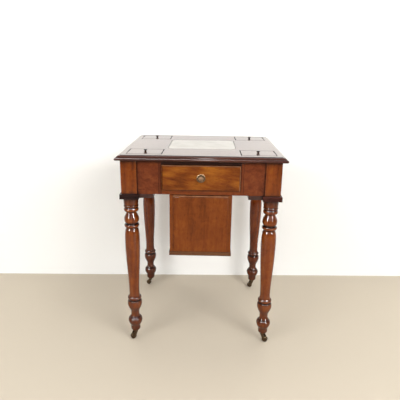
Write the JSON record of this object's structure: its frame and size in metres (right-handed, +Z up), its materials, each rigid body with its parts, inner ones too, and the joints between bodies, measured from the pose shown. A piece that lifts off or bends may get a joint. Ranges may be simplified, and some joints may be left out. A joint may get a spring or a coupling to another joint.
{
  "type": "tea table",
  "caption": "Square tea table with a pale centre panel, lidded corner compartments, a frieze drawer, a hanging sliding well and turned legs on swivel casters.",
  "frame": {"origin": "on the floor under the middle of the top", "axes": "+X to the right as seen from the front, +Y to the back, +Z up; the drawer opens towards -Y"},
  "size_m": [0.584, 0.514, 0.7425],
  "materials": {
    "mahogany": "polished red-brown mahogany, satin to gloss",
    "mahogany_dark": "dark stained mahogany, satin",
    "mahogany_gold": "golden brown polished veneer, satin",
    "oak": "plain unpolished timber, matt",
    "inset_leather": "cream, smooth, satin",
    "ebony": "black turned wood, polished",
    "brass": "aged brass, dull"
  },
  "bodies": {
    "table": {"top_panel": "mahogany", "edge_moulding_front": "mahogany", "edge_moulding_back": "mahogany", "edge_moulding_left": "mahogany", "edge_moulding_right": "mahogany", "centre_inset": "inset_leather", "front_panel_left": "mahogany", "front_panel_right": "mahogany", "drawer_rail_top": "mahogany", "drawer_rail_bottom": "mahogany", "frieze_back": "mahogany", "frieze_left": "mahogany", "frieze_right": "mahogany", "leg_front_left": "mahogany", "leg_front_right": "mahogany", "leg_back_left": "mahogany", "leg_back_right": "mahogany", "collar_front_left": "mahogany_dark", "collar_front_right": "mahogany_dark", "collar_back_left": "mahogany_dark", "collar_back_right": "mahogany_dark", "partition_left": "mahogany", "partition_right": "mahogany", "drawer_runners": "oak", "drawer_kickers": "oak", "compartment_floors": "oak", "compartment_dividers": "oak", "under_rails": "mahogany_dark", "well_runners": "oak", "caster_plates": "brass", "caster_screws": "brass"},
    "lid_front_left": {"lid_front_left": "mahogany", "lid_knob_front_left": "ebony"},
    "lid_front_right": {"lid_front_right": "mahogany", "lid_knob_front_right": "ebony"},
    "lid_back_left": {"lid_back_left": "mahogany", "lid_knob_back_left": "ebony"},
    "lid_back_right": {"lid_back_right": "mahogany", "lid_knob_back_right": "ebony"},
    "drawer": {"drawer_front": "mahogany_gold", "drawer_side_left": "oak", "drawer_side_right": "oak", "drawer_back": "oak", "drawer_bottom": "oak", "drawer_bead": "mahogany_gold", "drawer_knob_plate": "brass", "drawer_knob": "brass"},
    "well": {"well_front": "mahogany_gold", "well_back": "mahogany", "well_side_left": "mahogany", "well_side_right": "mahogany", "well_bottom": "mahogany"},
    "swivel_front_left": {"caster_fork_front_left": "brass"},
    "wheel_front_left": {"caster_wheel_front_left": "brass"},
    "swivel_front_right": {"caster_fork_front_right": "brass"},
    "wheel_front_right": {"caster_wheel_front_right": "brass"},
    "swivel_back_left": {"caster_fork_back_left": "brass"},
    "wheel_back_left": {"caster_wheel_back_left": "brass"},
    "swivel_back_right": {"caster_fork_back_right": "brass"},
    "wheel_back_right": {"caster_wheel_back_right": "brass"}
  },
  "joints": [
    {"name": "lid_lift_front_left", "type": "slide", "parent": "table", "child": "lid_front_left", "axis": [0, 0, 1], "range_m": [0, 0.06]},
    {"name": "lid_lift_front_right", "type": "slide", "parent": "table", "child": "lid_front_right", "axis": [0, 0, 1], "range_m": [0, 0.06]},
    {"name": "lid_lift_back_left", "type": "slide", "parent": "table", "child": "lid_back_left", "axis": [0, 0, 1], "range_m": [0, 0.06]},
    {"name": "lid_lift_back_right", "type": "slide", "parent": "table", "child": "lid_back_right", "axis": [0, 0, 1], "range_m": [0, 0.06]},
    {"name": "drawer_slide", "type": "slide", "parent": "table", "child": "drawer", "axis": [0, -1, 0], "range_m": [-0.0035, 0.2965]},
    {"name": "well_slide", "type": "slide", "parent": "table", "child": "well", "axis": [0, -1, 0], "range_m": [0, 0.2]},
    {"name": "caster_swivel_front_left", "type": "hinge", "parent": "table", "child": "swivel_front_left", "pos_m": [-0.248, -0.213, 0.035], "axis": [0, 0, 1], "continuous": true},
    {"name": "wheel_spin_front_left", "type": "hinge", "parent": "swivel_front_left", "child": "wheel_front_left", "pos_m": [-0.25701, -0.21931, 0.011], "axis": [0.5736, -0.8192, 0], "continuous": true},
    {"name": "caster_swivel_front_right", "type": "hinge", "parent": "table", "child": "swivel_front_right", "pos_m": [0.248, -0.213, 0.035], "axis": [0, 0, 1], "continuous": true},
    {"name": "wheel_spin_front_right", "type": "hinge", "parent": "swivel_front_right", "child": "wheel_front_right", "pos_m": [0.25701, -0.21931, 0.011], "axis": [0.5736, 0.8192, 0], "continuous": true},
    {"name": "caster_swivel_back_left", "type": "hinge", "parent": "table", "child": "swivel_back_left", "pos_m": [-0.248, 0.213, 0.035], "axis": [0, 0, 1], "continuous": true},
    {"name": "wheel_spin_back_left", "type": "hinge", "parent": "swivel_back_left", "child": "wheel_back_left", "pos_m": [-0.25834, 0.21676, 0.011], "axis": [-0.342, -0.9397, 0], "continuous": true},
    {"name": "caster_swivel_back_right", "type": "hinge", "parent": "table", "child": "swivel_back_right", "pos_m": [0.248, 0.213, 0.035], "axis": [0, 0, 1], "continuous": true},
    {"name": "wheel_spin_back_right", "type": "hinge", "parent": "swivel_back_right", "child": "wheel_back_right", "pos_m": [0.23766, 0.20924, 0.011], "axis": [0.342, -0.9397, 0], "continuous": true}
  ]
}
